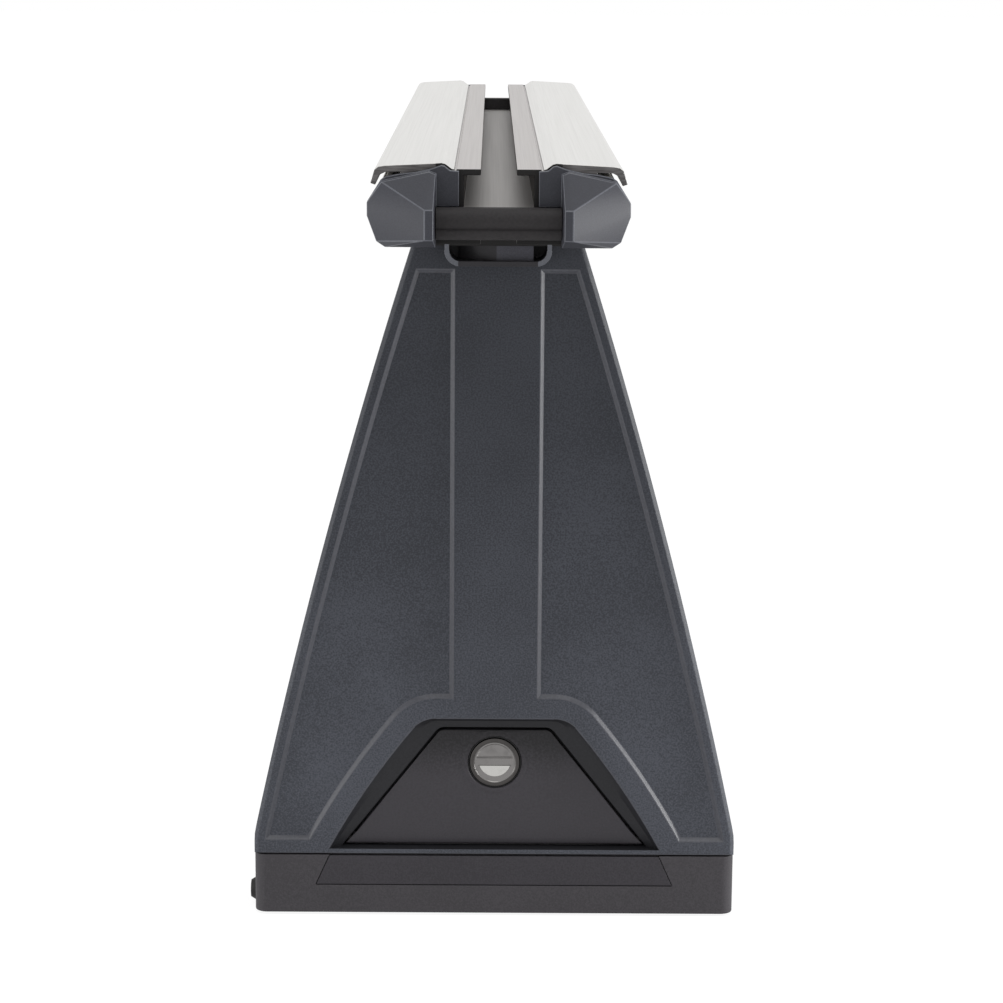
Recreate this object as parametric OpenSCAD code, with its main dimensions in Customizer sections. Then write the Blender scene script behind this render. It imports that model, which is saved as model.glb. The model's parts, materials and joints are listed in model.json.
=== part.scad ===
/* [Base] */
// Width of the base across the bar
base_w = 160; // [150:1:170]
// Depth of the base along the bar
base_d = 94; // [88:1:110]
// Height of the base skirt above the roof
base_h = 21; // [19:0.5:24]
// Thickness of the rubber pad
pad_t = 3; // [2:0.5:5]
// Thickness of the steel base plate
plate_t = 5; // [4:0.5:6]
// Wall of the base skirt
skirt_wall = 3; // [2:0.25:3.5]
// Plan radius of the skirt corners
skirt_r = 4; // [3.2:0.1:6]
// Height of the pad that shows under the skirt
skirt_lift = 0.8; // [0.3:0.1:1.5]
// Width of the lip that turns in at the top of the skirt
skirt_lip = 5; // [3:0.5:6]
// Half width of the front insert at its foot
insert_foot = 59.6; // [55:0.5:62]
// Height of the front insert
insert_h = 10.5; // [8:0.5:12]
// Thickness of the front insert
insert_t = 1.6; // [1.2:0.1:2]
// Distance of each insert clip from the middle
clip_x = 34; // [28:1:40]
// Width of each insert clip
clip_w = 8; // [6:0.5:10]
// Thickness of each insert clip
clip_h = 3; // [2.5:0.25:3.5]
// Radius of the screw in the side of the skirt
skirt_screw_r = 2; // [1.5:0.25:2]
// Length of the screw in the side of the skirt
skirt_screw_l = 16; // [12:1:20]

/* [Leg] */
// Height of the casting head above the roof
leg_top = 226; // [215:1:240]
// Half width of the leg at its head
head_half = 27.2; // [26:0.2:30]
// Radius of the long curve of the flanks
flank_r = 2075; // [1600:25:3000]
// Radius of the shoulder where the flank leaves the base
shoulder_r = 20; // [12:1:26]
// Depth of the leg at its head
head_d = 62; // [58:1:70]
// Radius of the hollow curve of the rear edges
rear_r = 620; // [500:10:1200]
// Wall of the casting flanks
flank_wall = 5; // [4:0.25:7]
// Wall of the casting front web
web_t = 4; // [3:0.25:6]
// Thickness of the casting foot
foot_t = 6; // [5:0.5:9]
// Thickness of the casting head
head_t = 10; // [8:0.5:14]
// Thickness of the casting ribs
rib_t = 4; // [3:0.25:5]
// Half the distance between the upright ribs
rib_half = 15; // [12:0.5:17]
// Number of cross ribs behind the web
cross_ribs = 3; // [2:1:4]
// Height of the screw bosses on the casting foot
foot_boss_h = 3; // [2.5:0.25:4]

/* [Cover] */
// Wall of the cover front
cover_wall = 3.2; // [2.8:0.1:4]
// Wall of the cover sides
cover_side = 2.5; // [2:0.1:3]
// How far the cover wraps round the flanks
cover_wrap = 30; // [24:1:36]
// Space between the cover wall and the casting web
cover_space = 4.3; // [3.5:0.1:5.5]
// Edge chamfer of the cover
cover_edge = 1.2; // [0.6:0.1:1.8]
// Depth of the sunk side panels
panel_depth = 1.2; // [0.8:0.1:1.6]
// Width of the raised frame beside the flanks
frame_band = 3.9; // [3:0.1:6]
// Width of the raised frame at the head and foot
frame_end = 9; // [7:0.5:12]
// Half width of the raised column
column_half = 14; // [12:0.5:18]
// Width of the raised band round the arch
arch_band = 7.4; // [5:0.2:9]
// Half width of the arch at its foot
arch_foot = 54.9; // [54:0.1:57]
// Height of the arch above the skirt
arch_h = 47; // [46:0.5:50]
// Radius of the arch sides
arch_r = 260; // [220:5:400]
// Lean of the arch sides at the foot, in degrees
arch_lean = 28.4; // [26:0.2:29]
// Radius of the arch corners
arch_corner = 10; // [8:0.5:14]
// Height of the sill under the door
sill_h = 1.8; // [1.5:0.1:2]

/* [Door] */
// Half width of the door at its foot
door_foot = 49.6; // [48:0.1:50.5]
// Height of the door
door_h = 38.8; // [38:0.1:40]
// Lean of the door sides, in degrees
door_lean = 38.2; // [37:0.2:39.5]
// Radius of the door corners
door_corner = 3; // [2:0.25:5]
// Thickness of the door
door_t = 3; // [2.6:0.1:3.4]
// How far the door sits behind the cover face
door_sink = 3.7; // [3.2:0.1:4.2]
// Gap round the door
door_gap = 0.9; // [0.6:0.1:1.2]
// Radius of the hinge pins
pin_r = 1; // [0.8:0.1:1.1]
// Radius of the hinge barrel
barrel_r = 1.9; // [1.8:0.05:2.1]
// Length of each hinge pin
pin_l = 12; // [10:0.5:14]

/* [Lock] */
// Height of the lock axis above the door foot
lock_rise = 29; // [28:0.5:30]
// Radius of the lock face
face_r = 8.3; // [7.5:0.1:8.4]
// Thickness of the lock face
face_t = 2.4; // [2:0.1:3]
// Radius of the turning plug
plug_r = 6.5; // [5.5:0.1:6.8]
// Outer radius of the lock sleeve
sleeve_r = 8.9; // [8.8:0.05:9.1]
// Length of the lock sleeve
sleeve_l = 10; // [9:0.5:11]
// Radius of the boss round the sleeve
boss_r = 10.1; // [9.9:0.05:10.2]
// Length of the cam from the lock axis
cam_l = 16.5; // [15:0.5:18]
// Width of the cam
cam_w = 8; // [6:0.5:9]
// Thickness of the cam
cam_t = 1.6; // [1.2:0.1:2]
// Radius of the cam screw
cam_screw_r = 1.5; // [1.25:0.25:1.75]
// Width of the keeper behind which the cam turns
keeper_w = 18; // [14:0.5:22]
// Height of the keeper
keeper_h = 9; // [7:0.5:11]
// Thickness of the clip that holds the plug
core_clip_t = 1; // [0.8:0.1:1.2]
// Depth of the groove for the clip
core_groove = 0.7; // [0.5:0.1:0.9]
// Side of the square tail
tail_s = 5; // [4:0.25:6]
// Length of the square tail
tail_l = 2; // [1.8:0.1:2.4]

/* [Bar] */
// Width of the bar over its hooks
bar_w = 76.8; // [74:0.2:80]
// Height of the bar
bar_h = 24.2; // [23.6:0.1:26]
// Length of the aluminium bar
bar_l = 510; // [300:5:600]
// How far the bar stands out in front of the base
bar_out = 55; // [50:1:70]
// Width of the slot mouths
slot_mouth = 10.8; // [10:0.2:12]
// Width of the slot cavities
slot_w = 21; // [20:0.5:23]
// Depth of the upper slot cavity
slot_depth = 9.7; // [9:0.1:10.2]
// Thickness of the slot lips
lip_t = 1.8; // [1.4:0.1:2.4]
// Thickness of the lower lips
low_lip_t = 2.2; // [1.8:0.1:2.6]
// Thickness of the web between the slots
slot_web = 2.2; // [1.8:0.1:2.6]
// Wall of the bar chambers
bar_wall = 1.8; // [1.4:0.1:2.2]
// How far the end caps stand out past the bar
cap_out = 20; // [16:1:26]
// Thickness of the end cap flange
flange_t = 2.5; // [2:0.25:3.5]

/* [Saddle] */
// Thickness of the saddle between the head and the bar
saddle_t = 5; // [4:0.5:7]
// Half width of the tray in front of the saddle
tray_half = 17; // [15:0.5:18.5]
// How far the tray stands out in front of the base
tray_out = 13; // [11:0.5:14]
// Depth of the tray below the casting head
tray_drop = 6.4; // [5.5:0.1:7]
// Radius of the tray corners
tray_r = 5; // [4:0.25:5.5]
// Wall of the tray
tray_wall = 1.6; // [1.2:0.1:2]

/* [Fixings] */
// Radius of the bar bolts
bolt_r = 4; // [3:0.5:4.5]
// Distance between the bar bolts
bolt_gap = 28; // [20:1:28]
// Thickness of the nut plate in the lower slot
nut_plate_t = 4.5; // [4:0.25:5]
// Length of the nut plate
nut_plate_l = 50; // [46:1:56]
// Radius of the roof bolt holes
roof_hole_r = 4.5; // [3.5:0.25:5.5]
// Distance between the roof bolt holes
roof_gap = 56; // [48:1:60]
// Radius of the foot screws
foot_screw_r = 3; // [2.5:0.25:3.5]
// Radius of the cover screws
cover_screw_r = 1.75; // [1.5:0.25:2]
// Length of the cover screws
cover_screw_l = 9; // [7:0.5:11]

/* [Clearances] */
// Gap between fixed pieces
fit = 0.3; // [0.2:0.05:0.4]
// Radial clearance of a turning fit
run = 0.06; // [0.03:0.01:0.09]
// Gap under a piece that slides
slide_gap = 0.05; // [0.03:0.01:0.08]

/* [Hidden] */
$fn = 48;
past = 1;

// Levels above the roof
plate_z = pad_t;
foot_z = plate_z + plate_t;
cover_z = base_h + fit;
bar_z = leg_top + saddle_t;
tray_z = leg_top - tray_drop;

// Planes along the bar, counted from the middle of the base
front_y = -base_d / 2;
cover_back_y = front_y + cover_wall;
wrap_y = front_y + cover_wrap;
web_y = cover_back_y + cover_space;
head_back_y = front_y + head_d;
door_y = front_y + door_sink;
door_back_y = door_y + door_t;
bar_near_y = front_y - bar_out;
bar_far_y = bar_near_y + bar_l;

// Flank curve: a long arc through the base edge and the head
flank_foot_z = base_h + 6.8;
flank_dx = base_w / 2 - head_half;
flank_dz = leg_top - flank_foot_z;
flank_chord = norm([flank_dx, flank_dz]);
flank_rise = sqrt(flank_r * flank_r - flank_chord * flank_chord / 4);
flank_cx = (base_w / 2 + head_half) / 2 - flank_rise * flank_dz / flank_chord;
flank_cz = (flank_foot_z + leg_top) / 2 - flank_rise * flank_dx / flank_chord;
shoulder_cx = base_w / 2 - shoulder_r;
shoulder_cz = flank_cz + sqrt(pow(flank_r - shoulder_r, 2) - pow(shoulder_cx - flank_cx, 2));
shoulder_a = atan2(shoulder_cz - flank_cz, shoulder_cx - flank_cx);

// Arch of the cover
arch_z = cover_z + sill_h;
arch_top = base_h + arch_h;
arch_cx = arch_foot - arch_r * cos(arch_lean);
arch_cz = arch_z - arch_r * sin(arch_lean);
corner_cz = arch_top - arch_corner;
corner_cx = arch_cx + sqrt(pow(arch_r - arch_corner, 2) - pow(corner_cz - arch_cz, 2));
corner_a = atan2(corner_cz - arch_cz, corner_cx - arch_cx);

// Ribs of the casting: how far inside the rear edge, and the space round the arch
rib_back = 6;
arch_gap = arch_band + 1;

// Door and its hinge
door_z = arch_z + fit;
door_top = door_z + door_h;
door_corner_z = door_top - door_corner;
door_corner_x = door_foot - (door_corner_z - door_z) * tan(door_lean) - door_corner / cos(door_lean);
hinge_y = door_y + barrel_r + 0.15;
hinge_z = door_z + barrel_r + 0.1;
barrel_half = door_foot - 2.6;
jamb_w = 2.5;
jamb_back_y = hinge_y + 2.6;
tab_y = door_back_y + 3.2;
tab_t = 2;
tab_z = door_z + 8.5;
tab_x = door_foot - (tab_z - door_z) * tan(door_lean) + (door_gap - 3.5) / cos(door_lean);
tab_back_y = tab_y + tab_t + 0.05;

// Lock
lock_z = door_z + lock_rise;
sleeve_front_y = door_y + 0.7;
sleeve_back_y = sleeve_front_y + sleeve_l;
face_front_y = door_y - 0.7;
plug_back_y = sleeve_back_y + 2.2;
core_clip_y = sleeve_back_y + 0.4;
cam_y = plug_back_y + slide_gap;
keeper_y = cam_y - fit;
keeper_z = door_top + door_gap + 1;

// Bar section, as heights above its underside
floor_z = bar_h - 1.8 - lip_t - slot_depth;
lip_top_z = bar_h - 1.8;
low_roof_z = floor_z - slot_web;
chamber_in = slot_w / 2 + bar_wall;
slot_outer = slot_w / 2;
bar_half = bar_w / 2;
cap_half = bar_half + 0.8;
stop_half = 18.7;

// Fixings
washer_t = 1.6;
nut_plate_z = bar_z + low_lip_t + slide_gap;
nut_plate_y = (web_y + web_t + head_back_y) / 2;
bolt_y = [nut_plate_y - bolt_gap / 2, nut_plate_y + bolt_gap / 2];
clip_z = base_h - insert_h / 2 - 2;
plate_edge = skirt_wall + 0.5;
foot_edge = skirt_wall + skirt_lip + 0.4;
foot_screw_x = base_w / 2 - 22;
foot_screw_y = base_d / 2 - 20;
foot_boss_r = foot_screw_r + 4;
foot_head_h = 3;
skirt_screw_y = front_y + 12;
skirt_screw_z = plate_z + plate_t / 2 - 0.4;
cover_black = "#3a3a3f";
base_black = "#464446";
door_black = "#323032";
cap_black = "#4e5058";
stop_black = "#2e2a2a";
cast_grey = "#b9b6ae";
alloy = "#cfcdc8";
steel = "#8e9092";

// Half width of the leg at a height, grown or shrunk by off
function leg_x(z, off) =
  z <= shoulder_cz ? base_w / 2 + off
  : z < flank_cz + (flank_r + off) * sin(shoulder_a)
    ? shoulder_cx + sqrt(pow(shoulder_r + off, 2) - pow(z - shoulder_cz, 2))
    : flank_cx + sqrt(pow(flank_r + off, 2) - pow(z - flank_cz, 2));

// Right half of the leg outline from z0 to z1, closer points at the shoulder
function leg_half(off, z0, z1, n = 14) =
  [for (i = [0:n]) let (z = z0 + (z1 - z0) * pow(i / n, 1.6)) [leg_x(z, off), z]];

function both(half) =
  concat(half, [for (i = [len(half) - 1:-1:0]) [-half[i][0], half[i][1]]]);

function turn(cx, cz, r, a0, a1, n) =
  [for (i = [0:n]) let (a = a0 + (a1 - a0) * i / n) [cx + r * cos(a), cz + r * sin(a)]];

// Right half of the arch outline, from the foot to the top
function arch_half(off, z0) =
  let (foot_a = asin((z0 - arch_cz) / (arch_r + off)))
  concat(
    turn(arch_cx, arch_cz, arch_r + off, foot_a, corner_a, 6),
    [for (i = [1:6]) let (a = corner_a + (90 - corner_a) * i / 6)
      [corner_cx + (arch_corner + off) * cos(a), corner_cz + (arch_corner + off) * sin(a)]]
  );

// Right half of the door outline; with six steps it has as many points as the arch
function door_half(off, z0, steps = 1) =
  let (
    foot = [door_foot + off / cos(door_lean) - (z0 - door_z) * tan(door_lean), z0],
    r = door_corner + off,
    head = [door_corner_x + r * cos(door_lean), door_corner_z + r * sin(door_lean)]
  )
  concat(
    [for (i = [0:steps]) foot + (head - foot) * i / steps],
    [for (i = [1:6]) let (a = door_lean + (90 - door_lean) * i / 6)
      [door_corner_x + r * cos(a), door_corner_z + r * sin(a)]]
  );

// Outline of the right sunk panel, shrunk by b
function panel_ring(b) =
  let (
    z0 = cover_z + frame_end - 4 + b,
    z1 = leg_top - frame_end - b,
    off = arch_band + b,
    foot_a = asin((z0 - arch_cz) / (arch_r + off)),
    outer = leg_half(-frame_band - b, z0, z1),
    bend = turn(corner_cx, corner_cz, arch_corner + off, 90, corner_a, 6),
    side = turn(arch_cx, arch_cz, arch_r + off, corner_a, foot_a, 6)
  )
  concat(
    outer,
    [[column_half + b, z1], [column_half + b, bend[0][1]]],
    bend,
    [for (i = [1:6]) side[i]]
  );

// Solid between rings of equal count; a ring is [y, points counterclockwise from the front]
module loft(rings) {
  n = len(rings[0][1]);
  last = len(rings) - 1;
  points = [for (ring = rings) for (p = ring[1]) [p[0], ring[0], p[1]]];
  front = [[for (i = [n - 1:-1:0]) i]];
  back = [[for (i = [0:n - 1]) last * n + i]];
  sides = [for (k = [0:last - 1]) for (i = [0:n - 1]) let (j = (i + 1) % n)
    each [[k * n + i, k * n + j, k * n + n + j], [k * n + i, k * n + n + j, k * n + n + i]]];
  polyhedron(points, faces = concat(front, back, sides));
}

// Extrudes an outline drawn in x and z from y0 to y1
module along_y(y0, y1) {
  translate([0, y1, 0]) rotate([90, 0, 0]) linear_extrude(y1 - y0) children();
}

// Extrudes an outline drawn in y and z from x0 to x1
module along_x(x0, x1) {
  translate([x0, 0, 0]) rotate([90, 0, 90]) linear_extrude(x1 - x0) children();
}

module y_rod(x, z, r, y0, y1) {
  translate([x, y1, z]) rotate([90, 0, 0]) cylinder(r = r, h = y1 - y0);
}

module x_rod(y, z, r, x0, x1) {
  translate([x0, y, z]) rotate([0, 90, 0]) cylinder(r = r, h = x1 - x0);
}

module z_rod(x, y, r, z0, z1) {
  translate([x, y, z0]) cylinder(r = r, h = z1 - z0);
}

module box(x0, x1, y0, y1, z0, z1) {
  translate([x0, y0, z0]) cube([x1 - x0, y1 - y0, z1 - z0]);
}

module both_sides() {
  for (side = [0, 1]) mirror([side, 0, 0]) children();
}

// Block with rounded upright edges, centred on the origin in plan
module slab(w, d, r, z0, z1) {
  translate([0, 0, z0]) linear_extrude(z1 - z0) {
    square([w - 2 * r, d], center = true);
    square([w, d - 2 * r], center = true);
    for (sx = [-1, 1], sy = [-1, 1]) translate([sx * (w / 2 - r), sy * (d / 2 - r)]) circle(r);
  }
}

module at_foot_screws() {
  for (sx = [-1, 1], sy = [-1, 1]) translate([sx * foot_screw_x, sy * foot_screw_y, 0]) children();
}

module roof_holes(r, z0, z1) {
  for (sx = [-1, 1]) z_rod(sx * roof_gap / 2, 0, r, z0, z1);
}

module bar_bolt_holes(r, z0, z1) {
  for (y = bolt_y) z_rod(0, y, r, z0, z1);
}

module base_pad() {
  groove_w = 3;
  groove_h = 1;
  color("#2a2a2a") difference() {
    slab(base_w - 2 * plate_edge, base_d - 2 * plate_edge, skirt_r - 1, 0, pad_t);
    roof_holes(roof_hole_r + 0.5, -past, pad_t + past);
    for (y = [-3, -1, 1, 3]) box(-base_w / 2 + 12, base_w / 2 - 12,
      y * base_d / 9 - groove_w / 2, y * base_d / 9 + groove_w / 2, -past, groove_h);
  }
}

module base_plate() {
  color(steel) difference() {
    slab(base_w - 2 * plate_edge, base_d - 2 * plate_edge, skirt_r - 1, plate_z, foot_z);
    roof_holes(roof_hole_r, 0, foot_z + past);
    at_foot_screws() {
      z_rod(0, 0, foot_screw_r + fit, 0, foot_z + past);
      translate([0, 0, plate_z - 0.01])
        cylinder(r1 = 2 * foot_screw_r + fit, r2 = foot_screw_r + fit, h = foot_head_h + 0.4);
    }
    x_rod(skirt_screw_y, skirt_screw_z, skirt_screw_r + run, -base_w / 2, skirt_screw_l + 2 - base_w / 2);
  }
}

module foot_screws() {
  color(steel) at_foot_screws() difference() {
    union() {
      z_rod(0, 0, foot_screw_r, plate_z + foot_head_h, foot_z + foot_t + foot_boss_h + 1);
      translate([0, 0, plate_z + 0.1]) cylinder(r1 = 2 * foot_screw_r, r2 = foot_screw_r, h = foot_head_h);
    }
    translate([0, 0, plate_z - past]) cylinder(r = foot_screw_r * 0.75, h = foot_head_h, $fn = 6);
  }
}

// Outline of the front insert, shrunk by gap
module insert_outline(gap, top) {
  foot = base_h - insert_h + gap;
  slope = (insert_foot - arch_foot) / insert_h;
  polygon([
    [-insert_foot + gap, foot],
    [insert_foot - gap, foot],
    [insert_foot - gap - slope * (top - foot), top],
    [-insert_foot + gap + slope * (top - foot), top]
  ]);
}

module base_skirt() {
  top_t = 2;
  inner = skirt_wall + skirt_lip;
  color(base_black) difference() {
    slab(base_w, base_d, skirt_r, skirt_lift, base_h);
    slab(base_w - 2 * skirt_wall, base_d - 2 * skirt_wall,
      max(skirt_r - skirt_wall, 0.2), 0, base_h - top_t);
    slab(base_w - 2 * inner, base_d - 2 * inner, 2, 0, base_h + past);
    along_y(front_y - past, front_y + insert_t + slide_gap) insert_outline(0, base_h + past);
    both_sides() box(clip_x - clip_w / 2 - fit, clip_x + clip_w / 2 + fit,
      front_y, front_y + skirt_wall + past, clip_z - fit, clip_z + clip_h + fit);
    x_rod(skirt_screw_y, skirt_screw_z, skirt_screw_r + fit,
      -base_w / 2 - past, skirt_wall + past - base_w / 2);
  }
}

module base_insert() {
  barb = 0.8;
  color(base_black) {
    along_y(front_y, front_y + insert_t) insert_outline(0.25, base_h - 0.25);
    both_sides() along_x(clip_x - clip_w / 2, clip_x + clip_w / 2) polygon([
      [front_y + insert_t - 0.2, clip_z],
      [front_y + skirt_wall + 2.4, clip_z],
      [front_y + skirt_wall + 2.4, clip_z + clip_h - 1],
      [front_y + skirt_wall + 0.2, clip_z + clip_h + barb],
      [front_y + skirt_wall + 0.2, clip_z + clip_h],
      [front_y + insert_t - 0.2, clip_z + clip_h]
    ]);
  }
}

module skirt_screw() {
  head_r = skirt_screw_r + 2.1;
  head_t = 2;
  color(steel) difference() {
    union() {
      x_rod(skirt_screw_y, skirt_screw_z, skirt_screw_r, -base_w / 2 - 0.1, skirt_screw_l - base_w / 2);
      translate([-base_w / 2 - 0.1, skirt_screw_y, skirt_screw_z]) rotate([0, -90, 0])
        cylinder(r1 = head_r, r2 = head_r - 1.2, h = head_t);
    }
    translate([-base_w / 2 - head_t - past, skirt_screw_y, skirt_screw_z]) rotate([0, 90, 0])
      cylinder(r = skirt_screw_r * 0.8, h = head_t + 0.4, $fn = 6);
  }
}

// Side view of the casting: upright front, hollow curved rear edge moved in by back
module casting_side(back) {
  foot = [base_d / 2 - fit - back, cover_z + 6];
  head = [head_back_y - back, leg_top - head_t - 2];
  mid = (foot + head) / 2;
  chord = norm(head - foot);
  out = [head[1] - foot[1], foot[0] - head[0]] / chord;
  centre = mid + out * sqrt(rear_r * rear_r - chord * chord / 4);
  a0 = atan2(head[1] - centre[1], head[0] - centre[0]) + 360;
  a1 = atan2(foot[1] - centre[1], foot[0] - centre[0]) + 360;
  polygon(concat(
    [[web_y, cover_z], [web_y, leg_top + past], [head[0], leg_top + past]],
    turn(centre[0], centre[1], rear_r, a0, a1, 12),
    [[foot[0], cover_z]]
  ));
}

module leg_outline(off, z0, z1) {
  polygon(both(leg_half(off, z0, z1)));
}

module arch_outline(off, z0) {
  polygon(both(arch_half(off, z0)));
}

module door_outline(off, z0) {
  polygon(both(door_half(off, z0)));
}

// Pocket behind the front web, inside the flanks
module casting_pocket(z0, z1) {
  narrow = -cover_side - fit - flank_wall;
  along_y(web_y + web_t, base_d) leg_outline(narrow, z0, z1);
  along_y(wrap_y + fit + flank_wall, base_d) leg_outline(-fit - flank_wall, z0, z1);
}

module casting_ribs() {
  rib_off = -cover_side - fit - 1;
  low = arch_top + arch_gap;
  high = leg_top - head_t;
  intersection() {
    along_x(-base_w, base_w) casting_side(rib_back);
    difference() {
      union() {
        both_sides() box(rib_half - rib_t / 2, rib_half + rib_t / 2, web_y, base_d, low, high);
        for (i = [1:cross_ribs])
          along_y(web_y, base_d) intersection() {
            leg_outline(rib_off, cover_z, leg_top);
            translate([-base_w / 2, low + (high - low) * i / (cross_ribs + 1) - rib_t / 2])
              square([base_w, rib_t]);
          }
        along_y(web_y, base_d) intersection() {
          arch_outline(arch_gap + rib_t, cover_z);
          leg_outline(rib_off, cover_z, leg_top);
        }
      }
      along_y(web_y - past, base_d + past) arch_outline(arch_gap, foot_z);
    }
  }
}

module leg_casting() {
  narrow = -cover_side - fit;
  foot_w = base_w - 2 * foot_edge;
  foot_d = base_d - 2 * foot_edge;
  shelf_t = 4;
  gusset_back_y = tab_y + cover_screw_l + 3;
  opening_gap = door_gap + jamb_w + 0.6;
  color(cast_grey) difference() {
    union() {
      difference() {
        union() {
          slab(foot_w, foot_d, 3, foot_z, cover_z + 0.5);
          difference() {
            intersection() {
              along_x(-base_w, base_w) casting_side(0);
              union() {
                along_y(web_y, base_d) leg_outline(narrow, cover_z, leg_top);
                along_y(wrap_y + fit, base_d) leg_outline(-fit, cover_z, leg_top);
              }
            }
            casting_pocket(cover_z + shelf_t, leg_top - head_t);
          }
          casting_ribs();
          box(-keeper_w / 2, keeper_w / 2, jamb_back_y + fit, keeper_y, keeper_z, keeper_z + keeper_h);
          both_sides() {
            y_rod(tab_x, tab_z, 4.5, tab_back_y, gusset_back_y);
            box(tab_x, leg_x(tab_z, narrow) - flank_wall / 2, tab_back_y, gusset_back_y,
              tab_z - rib_t / 2, tab_z + rib_t / 2);
          }
        }
        slab(foot_w - 2 * flank_wall, foot_d - 2 * flank_wall, 3, foot_z + foot_t, cover_z + shelf_t + past);
      }
      at_foot_screws() z_rod(0, 0, foot_boss_r, foot_z + foot_t - 0.5, foot_z + foot_t + foot_boss_h);
    }
    along_y(web_y - past, jamb_back_y + fit) door_outline(opening_gap, base_h);
    along_y(jamb_back_y, tab_back_y) difference() {
      door_outline(opening_gap, base_h);
      translate([-keeper_w / 2, keeper_z]) square([keeper_w, keeper_h + door_h]);
    }
    both_sides() y_rod(tab_x, tab_z, cover_screw_r + 0.05, web_y, gusset_back_y - 1.5);
    roof_holes(roof_hole_r, 0, base_h);
    at_foot_screws() z_rod(0, 0, foot_screw_r + 0.05, 0, foot_z + foot_t + foot_boss_h + past);
    bar_bolt_holes(bolt_r + 0.4, leg_top - head_t - past, leg_top + 2 * past);
  }
}

module leg_cover() {
  top = leg_top - 0.5;
  edge_y = front_y + cover_edge;
  jamb = door_gap + jamb_w;
  color(cover_black) difference() {
    union() {
      difference() {
        loft([
          [front_y, both(leg_half(-cover_edge, cover_z, top))],
          [edge_y, both(leg_half(0, cover_z, top))],
          [wrap_y, both(leg_half(0, cover_z, top))]
        ]);
        along_y(cover_back_y, wrap_y + past) leg_outline(-cover_side, cover_z - past, leg_top + past);
      }
      along_y(front_y + 1.5, jamb_back_y) door_outline(jamb, cover_z);
      both_sides() intersection() {
        along_y(cover_back_y, tab_y + tab_t) door_outline(jamb, cover_z);
        box(tab_x - 5, base_w, cover_back_y, tab_y + tab_t, tab_z - 5, tab_z + 5);
      }
      both_sides() for (z = [arch_top + 30, leg_top - 30])
        y_rod(column_half + 5, z, 3, cover_back_y - past, web_y - 0.1);
    }
    both_sides() loft([
      [front_y - 0.4, panel_ring(-0.4)],
      [front_y + panel_depth, panel_ring(panel_depth)]
    ]);
    loft([
      [front_y - 0.5, both(arch_half(0, arch_z))],
      [front_y, both(arch_half(0, arch_z))],
      [door_y - 0.2, both(door_half(door_gap + 0.15, arch_z, 6))]
    ]);
    along_y(door_y - 0.4, tab_y) door_outline(door_gap, arch_z);
    both_sides() {
      y_rod(tab_x, tab_z, cover_screw_r + fit, tab_y - past, tab_y + tab_t + past);
      x_rod(hinge_y, hinge_z, pin_r + 0.02, barrel_half, barrel_half + pin_l);
    }
  }
}

module cover_screws() {
  head_r = 3.2;
  head_t = 1.7;
  color(steel) both_sides() difference() {
    union() {
      y_rod(tab_x, tab_z, head_r, tab_y - head_t, tab_y);
      y_rod(tab_x, tab_z, cover_screw_r, tab_y - 0.1, tab_y + cover_screw_l);
    }
    translate([tab_x, tab_y - head_t + 1, tab_z]) rotate([90, 0, 0]) cylinder(r = 1.5, h = 2, $fn = 6);
  }
}

module access_door() {
  rim = 1.4;
  rim_h = 1;
  rim_out = 0.35;
  rim_foot = hinge_z + 4;
  foot = hinge_z - 0.8;
  color(door_black) difference() {
    union() {
      along_y(door_y, door_back_y) door_outline(0, foot);
      along_y(door_back_y - 0.1, door_back_y + rim_h) difference() {
        door_outline(rim_out, rim_foot);
        door_outline(rim_out - rim, rim_foot + rim);
      }
      x_rod(hinge_y, hinge_z, barrel_r, -barrel_half, barrel_half);
      y_rod(0, lock_z, boss_r, door_y - 0.4, door_back_y);
      y_rod(0, lock_z, sleeve_r + 1, door_y, door_back_y + 3.3);
    }
    y_rod(0, lock_z, sleeve_r + 0.03, door_y - past, door_back_y + 5);
    both_sides() x_rod(hinge_y, hinge_z, pin_r + run, barrel_half - 8, base_w / 2);
  }
}

module hinge_pins() {
  color(steel) both_sides() x_rod(hinge_y, hinge_z, pin_r, barrel_half - 6.5, barrel_half - 6.5 + pin_l);
}

module lock_sleeve() {
  color("#1c1c1e") difference() {
    y_rod(0, lock_z, sleeve_r, sleeve_front_y, sleeve_back_y);
    y_rod(0, lock_z, face_r + run, sleeve_front_y - past, face_front_y + face_t + slide_gap);
    y_rod(0, lock_z, plug_r + run, sleeve_front_y - past, sleeve_back_y + past);
  }
}

module lock_core() {
  rim = 0.9;
  key_w = 10.4;
  key_h = 1.6;
  key_up = 1.7;
  moon_depth = 0.6;
  color("#5b5b60") difference() {
    union() {
      translate([0, face_front_y, lock_z]) rotate([-90, 0, 0]) rotate_extrude() polygon(concat(
        [[0, 0], [face_r - rim, 0]],
        turn(face_r - rim, rim, rim, -90, 0, 4),
        [[face_r, face_t], [0, face_t]]
      ));
      y_rod(0, lock_z, plug_r, face_front_y + face_t - 0.1, plug_back_y);
      box(-tail_s / 2, tail_s / 2, plug_back_y - 0.1, plug_back_y + tail_l,
        lock_z - tail_s / 2, lock_z + tail_s / 2);
    }
    box(-key_w / 2, key_w / 2, face_front_y - past, face_front_y + 1.6,
      lock_z + key_up - key_h, lock_z + key_up);
    intersection() {
      y_rod(0, lock_z, face_r - 1.4, face_front_y - past, face_front_y + moon_depth);
      box(-face_r, face_r, face_front_y - past, face_front_y + past, lock_z - face_r, lock_z - 0.6);
    }
    difference() {
      y_rod(0, lock_z, plug_r + past, core_clip_y, core_clip_y + core_clip_t + 0.1);
      y_rod(0, lock_z, plug_r - core_groove, core_clip_y - past, core_clip_y + core_clip_t + past);
    }
    y_rod(0, lock_z, cam_screw_r + 0.05, plug_back_y - 6, plug_back_y + tail_l + past);
  }
}

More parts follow.
